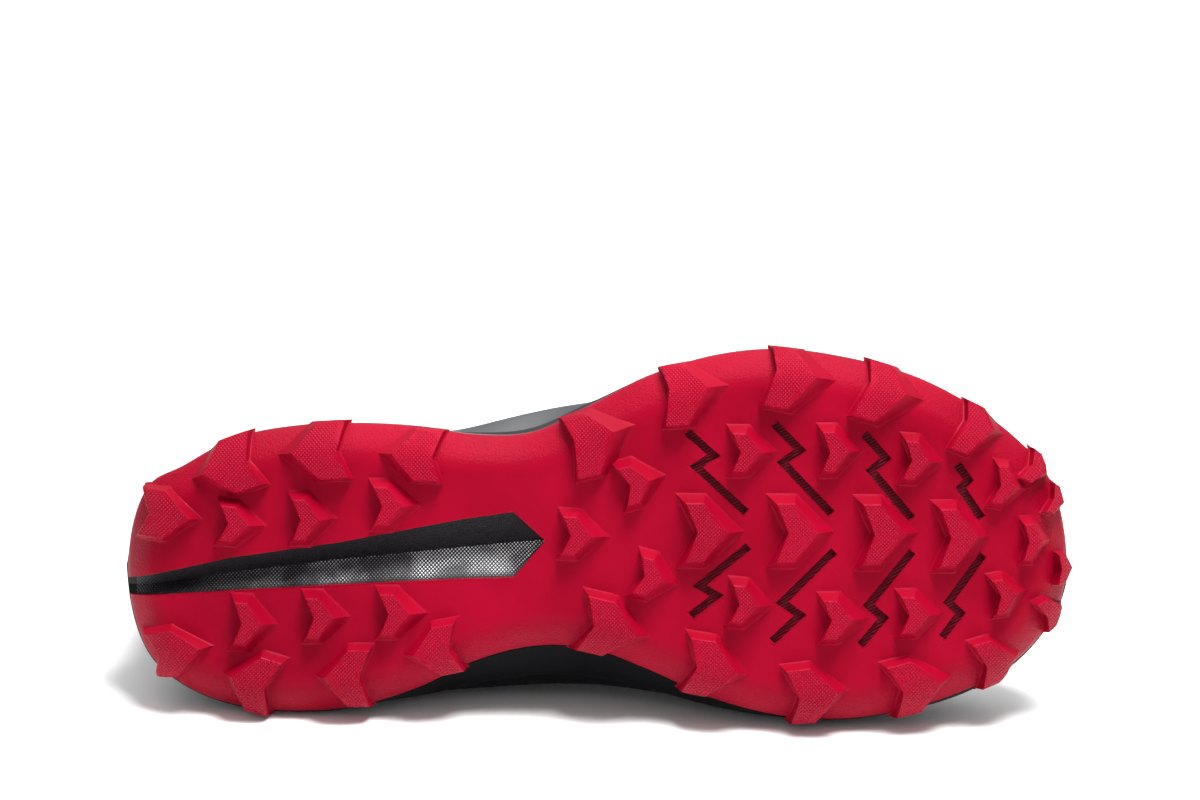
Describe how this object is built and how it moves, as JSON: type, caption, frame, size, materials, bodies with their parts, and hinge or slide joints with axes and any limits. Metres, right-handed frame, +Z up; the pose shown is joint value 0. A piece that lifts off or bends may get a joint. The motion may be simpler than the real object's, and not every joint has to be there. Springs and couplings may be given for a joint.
{
  "type": "trail running shoe",
  "caption": "Right trail running shoe lying on its side: crimson lugged outsole with slots and a heel cut-out, black foam midsole, black knit upper with overlays, tongue and laces.",
  "frame": {"origin": "middle of the shoe's box at the floor it lies on", "axes": "+X from heel to toe, -Y the way the sole faces, tipped up a little, +Z up, the lateral side of the shoe on top"},
  "size_m": [0.304, 0.1324, 0.1225],
  "materials": {
    "outsole_rubber": "matt moulded crimson rubber, knurled lug faces",
    "midsole_foam": "smooth black moulded foam with a soft sheen",
    "insole_cloth": "dark cloth over foam",
    "upper_knit": "black open knit",
    "overlay_film": "thin black welded film",
    "eyestay_film": "thin black welded film",
    "tongue_cloth": "black padded cloth",
    "lace_cord": "flat woven black lace"
  },
  "bodies": {
    "root": {"outsole": "outsole_rubber", "midsole": "midsole_foam", "insole": "insole_cloth", "upper": "upper_knit", "toe_cap": "overlay_film", "heel_counter": "overlay_film", "eyestay": "eyestay_film", "tongue": "tongue_cloth", "lace_bar": "lace_cord", "lace_cross_1": "lace_cord", "lace_cross_2": "lace_cord", "lace_cross_3": "lace_cord", "lace_cross_4": "lace_cord", "lace_cross_5": "lace_cord"}
  },
  "joints": []
}
